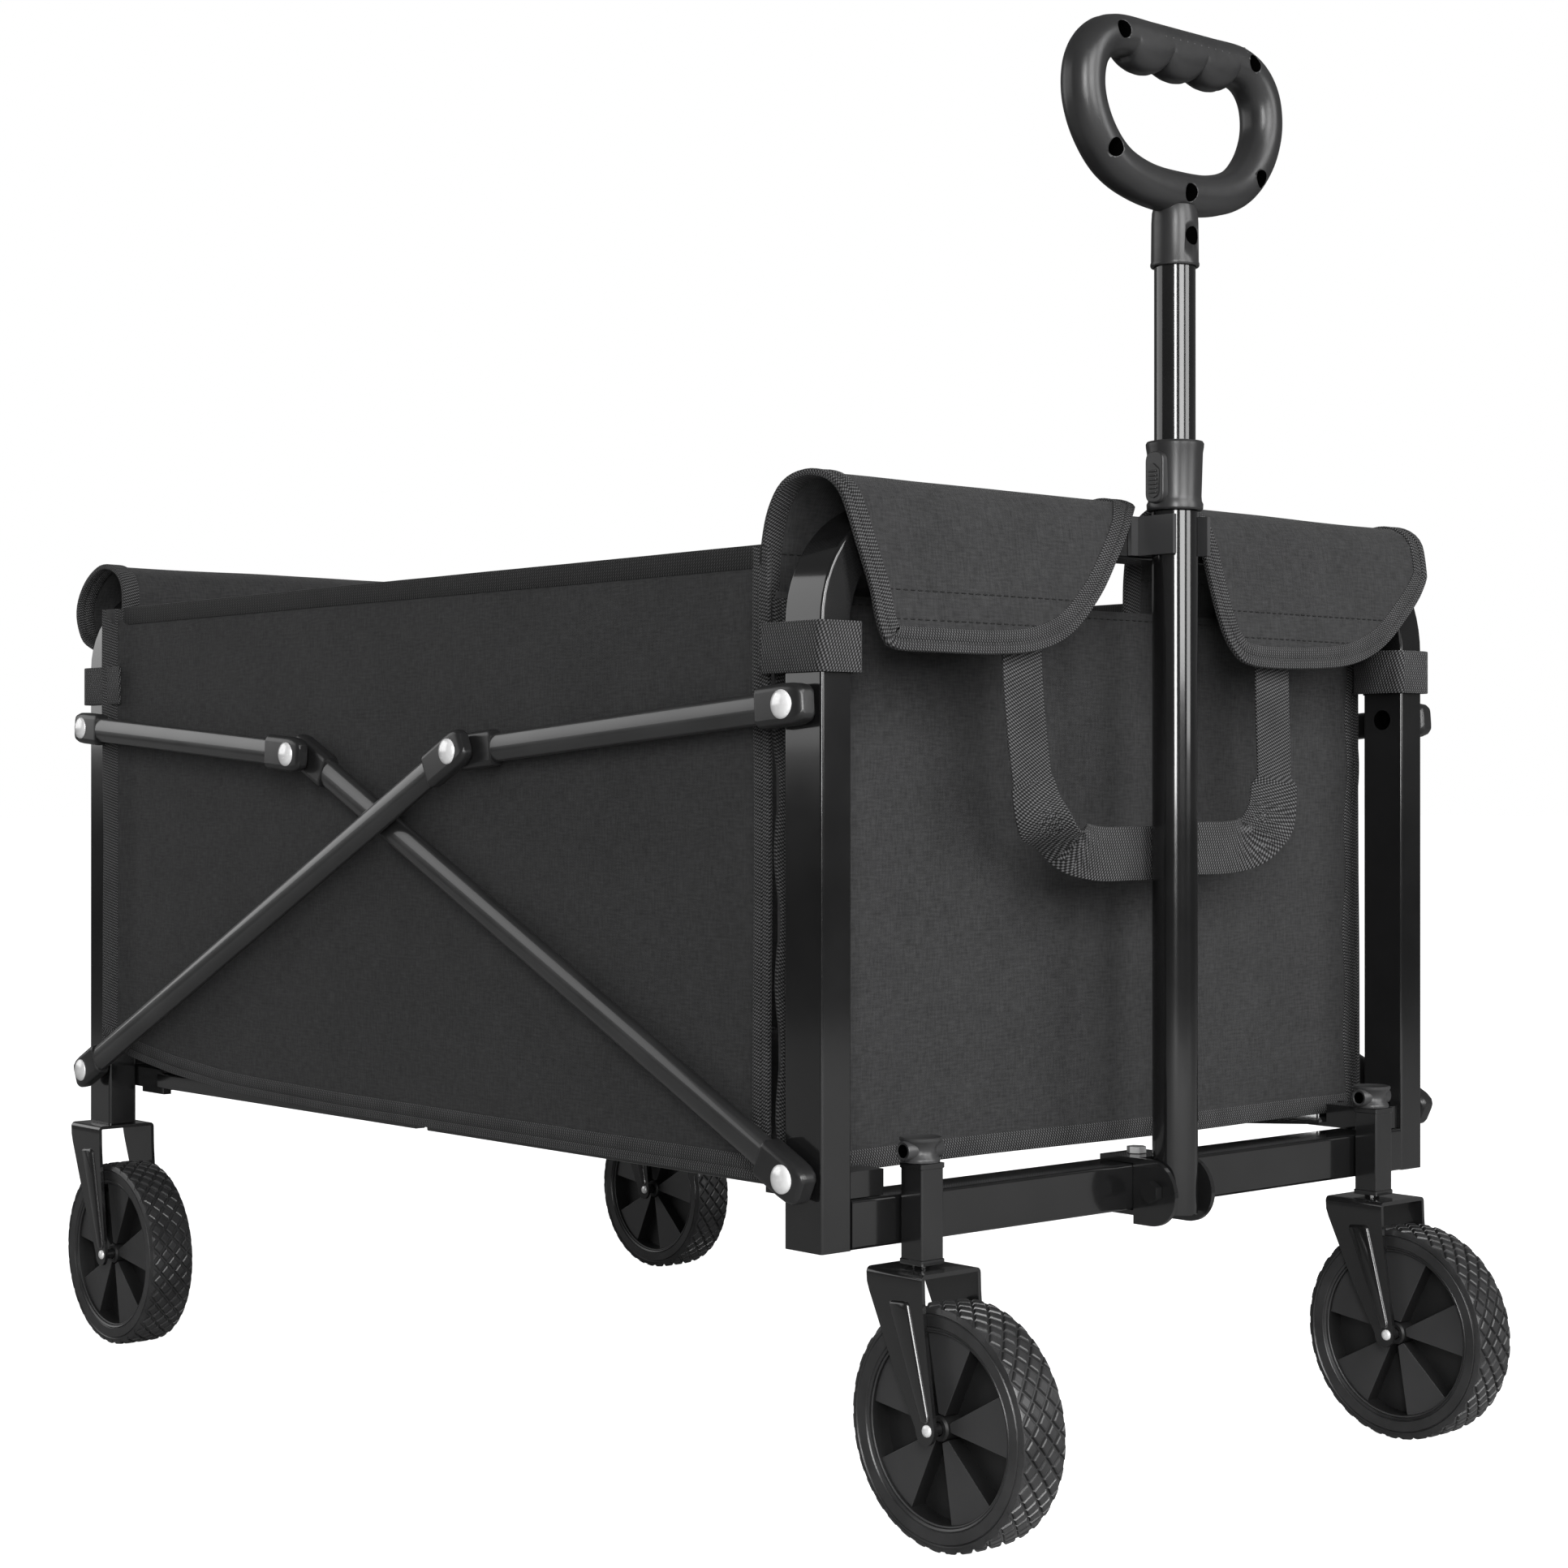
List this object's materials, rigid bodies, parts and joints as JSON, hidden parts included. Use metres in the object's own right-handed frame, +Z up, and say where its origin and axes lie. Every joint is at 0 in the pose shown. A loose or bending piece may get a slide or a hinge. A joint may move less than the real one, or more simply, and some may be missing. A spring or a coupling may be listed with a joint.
{
  "type": "wagon with pull handle",
  "caption": "Folding wagon with a fabric basket on a scissor-linked tube frame, swivelling front casters, fixed rear wheels and a telescopic pull handle ending in a D-grip.",
  "frame": {"origin": "on the ground under the middle of the bounding box", "axes": "+X to the front, where the pull handle is; +Y to the left of someone facing forward; +Z up"},
  "size_m": [0.7986, 0.4902, 0.728],
  "materials": {
    "frame_paint": "gloss black powder coat",
    "caster_paint": "satin black",
    "bolt_steel": "bright zinc",
    "wheel_moulding": "satin, ribbed faces",
    "tyre_rubber": "matt, diamond tread",
    "grip_moulding": "fine satin texture",
    "clip_moulding": "satin",
    "cap_moulding": "satin",
    "basket_cloth": "heathered charcoal plain weave"
  },
  "bodies": {
    "front_frame": {"front_u_frame": "frame_paint", "front_cross_bar": "frame_paint", "caster_stem_left": "frame_paint", "caster_stem_right": "frame_paint", "caster_cap_left": "cap_moulding", "caster_cap_right": "cap_moulding", "handle_bracket": "frame_paint", "bracket_bolt": "bolt_steel", "handle_pivot_bolt": "caster_paint", "handle_clip": "clip_moulding", "front_panel": "basket_cloth", "front_flap_right": "basket_cloth", "front_flap_left": "basket_cloth", "front_floor_bracket_left": "cap_moulding", "front_floor_bracket_right": "cap_moulding", "side_panel_left": "basket_cloth", "side_panel_right": "basket_cloth", "floor_panel": "basket_cloth"},
    "rear_frame": {"rear_u_frame": "frame_paint", "rear_cross_bar": "frame_paint", "rear_panel": "basket_cloth", "rear_flap": "basket_cloth", "rear_fork_left": "caster_paint", "rear_fork_right": "caster_paint", "rear_left_axle": "bolt_steel", "rear_right_axle": "bolt_steel", "rear_floor_bracket_left": "cap_moulding", "rear_floor_bracket_right": "cap_moulding"},
    "front_diagonal_left": {"front_diagonal_left": "frame_paint"},
    "front_link_left": {"front_link_left": "frame_paint"},
    "rear_diagonal_left": {"rear_diagonal_left": "frame_paint"},
    "rear_link_left": {"rear_link_left": "frame_paint"},
    "front_diagonal_right": {"front_diagonal_right": "frame_paint"},
    "front_link_right": {"front_link_right": "frame_paint"},
    "rear_diagonal_right": {"rear_diagonal_right": "frame_paint"},
    "rear_link_right": {"rear_link_right": "frame_paint"},
    "caster_left": {"caster_fork_left": "caster_paint", "caster_pin_left": "bolt_steel", "front_left_axle": "bolt_steel"},
    "front_wheel_left": {"front_left_tyre": "tyre_rubber", "front_left_rim": "wheel_moulding"},
    "rear_wheel_left": {"rear_left_tyre": "tyre_rubber", "rear_left_rim": "wheel_moulding"},
    "caster_right": {"caster_fork_right": "caster_paint", "caster_pin_right": "bolt_steel", "front_right_axle": "bolt_steel"},
    "front_wheel_right": {"front_right_tyre": "tyre_rubber", "front_right_rim": "wheel_moulding"},
    "rear_wheel_right": {"rear_right_tyre": "tyre_rubber", "rear_right_rim": "wheel_moulding"},
    "front_floor": {"front_floor_frame": "frame_paint"},
    "rear_floor": {"rear_floor_frame": "frame_paint"},
    "handle": {"handle_outer_tube": "frame_paint", "handle_collar": "grip_moulding"},
    "handle_extension": {"handle_inner_tube": "frame_paint", "grip_front_shell": "grip_moulding", "grip_back_shell": "grip_moulding"},
    "latch": {"handle_button": "grip_moulding"}
  },
  "joints": [
    {"name": "fold", "type": "hinge", "parent": "front_frame", "child": "front_diagonal_left", "pos_m": [0.2994, 0.232, 0.1696], "axis": [0, 1, 0], "range_deg": [0, 46], "deforming": ["side_panel_left", "side_panel_right", "floor_panel"]},
    {"name": "crossing_left", "type": "hinge", "parent": "front_diagonal_left", "child": "rear_diagonal_left", "pos_m": [-0.0323, 0.235, 0.32758], "axis": [0, 1, 0], "range_deg": [-92, 0]},
    {"name": "rear_post_left", "type": "hinge", "parent": "rear_diagonal_left", "child": "rear_frame", "pos_m": [-0.364, 0.232, 0.1696], "axis": [0, 1, 0], "range_deg": [0, 46]},
    {"name": "front_post_right", "type": "hinge", "parent": "front_frame", "child": "front_diagonal_right", "pos_m": [0.2994, -0.232, 0.1696], "axis": [0, 1, 0], "range_deg": [0, 46]},
    {"name": "crossing_right", "type": "hinge", "parent": "front_diagonal_right", "child": "rear_diagonal_right", "pos_m": [-0.0323, -0.235, 0.32758], "axis": [0, 1, 0], "range_deg": [-92, 0]},
    {"name": "front_link_pivot_left", "type": "hinge", "parent": "front_frame", "child": "front_link_left", "pos_m": [0.2994, 0.232, 0.3838], "axis": [0, 1, 0], "range_deg": [0, 69.97]},
    {"name": "rear_link_pivot_left", "type": "hinge", "parent": "rear_frame", "child": "rear_link_left", "pos_m": [-0.364, 0.232, 0.3838], "axis": [0, 1, 0], "range_deg": [-69.97, 0]},
    {"name": "front_link_pivot_right", "type": "hinge", "parent": "front_frame", "child": "front_link_right", "pos_m": [0.2994, -0.232, 0.3838], "axis": [0, 1, 0], "range_deg": [0, 69.97]},
    {"name": "rear_link_pivot_right", "type": "hinge", "parent": "rear_frame", "child": "rear_link_right", "pos_m": [-0.364, -0.232, 0.3838], "axis": [0, 1, 0], "range_deg": [-69.97, 0]},
    {"name": "front_floor_pivot", "type": "hinge", "parent": "front_frame", "child": "front_floor", "pos_m": [0.2624, 0, 0.163], "axis": [0, 1, 0], "range_deg": [0, 71.94]},
    {"name": "rear_floor_pivot", "type": "hinge", "parent": "rear_frame", "child": "rear_floor", "pos_m": [-0.327, 0, 0.163], "axis": [0, 1, 0], "range_deg": [-71.94, 0]},
    {"name": "caster_swivel_left", "type": "hinge", "parent": "front_frame", "child": "caster_left", "pos_m": [0.3196, 0.17, 0.126], "axis": [0, 0, 1], "continuous": true},
    {"name": "front_wheel_spin_left", "type": "hinge", "parent": "caster_left", "child": "front_wheel_left", "pos_m": [0.3431, 0.17, 0.0562], "axis": [0, 1, 0], "continuous": true},
    {"name": "rear_wheel_spin_left", "type": "hinge", "parent": "rear_frame", "child": "rear_wheel_left", "pos_m": [-0.3431, 0.2157, 0.0562], "axis": [0, 1, 0], "continuous": true},
    {"name": "caster_swivel_right", "type": "hinge", "parent": "front_frame", "child": "caster_right", "pos_m": [0.3196, -0.17, 0.126], "axis": [0, 0, 1], "continuous": true},
    {"name": "front_wheel_spin_right", "type": "hinge", "parent": "caster_right", "child": "front_wheel_right", "pos_m": [0.3431, -0.17, 0.0562], "axis": [0, 1, 0], "continuous": true},
    {"name": "rear_wheel_spin_right", "type": "hinge", "parent": "rear_frame", "child": "rear_wheel_right", "pos_m": [-0.3431, -0.2157, 0.0562], "axis": [0, 1, 0], "continuous": true},
    {"name": "handle_pivot", "type": "hinge", "parent": "front_frame", "child": "handle", "pos_m": [0.3267, 0, 0.146], "axis": [0, 1, 0], "range_deg": [0, 100]},
    {"name": "handle_telescope", "type": "slide", "parent": "handle", "child": "handle_extension", "axis": [0, 0, 1], "range_m": [-0.084, 0.19]},
    {"name": "latch_slide", "type": "slide", "parent": "handle", "child": "latch", "axis": [0, 0, 1], "range_m": [0, 0.0028]}
  ],
  "couplings": [
    {"joint": "crossing_left", "follows": "fold", "ratio": -2},
    {"joint": "rear_post_left", "follows": "fold", "ratio": 1},
    {"joint": "front_post_right", "follows": "fold", "ratio": 1},
    {"joint": "crossing_right", "follows": "fold", "ratio": -2},
    {"joint": "front_link_pivot_left", "follows": "fold", "ratio": 1.521},
    {"joint": "rear_link_pivot_left", "follows": "fold", "ratio": -1.521},
    {"joint": "front_link_pivot_right", "follows": "fold", "ratio": 1.521},
    {"joint": "rear_link_pivot_right", "follows": "fold", "ratio": -1.521},
    {"joint": "front_floor_pivot", "follows": "fold", "ratio": 1.564},
    {"joint": "rear_floor_pivot", "follows": "fold", "ratio": -1.564}
  ]
}
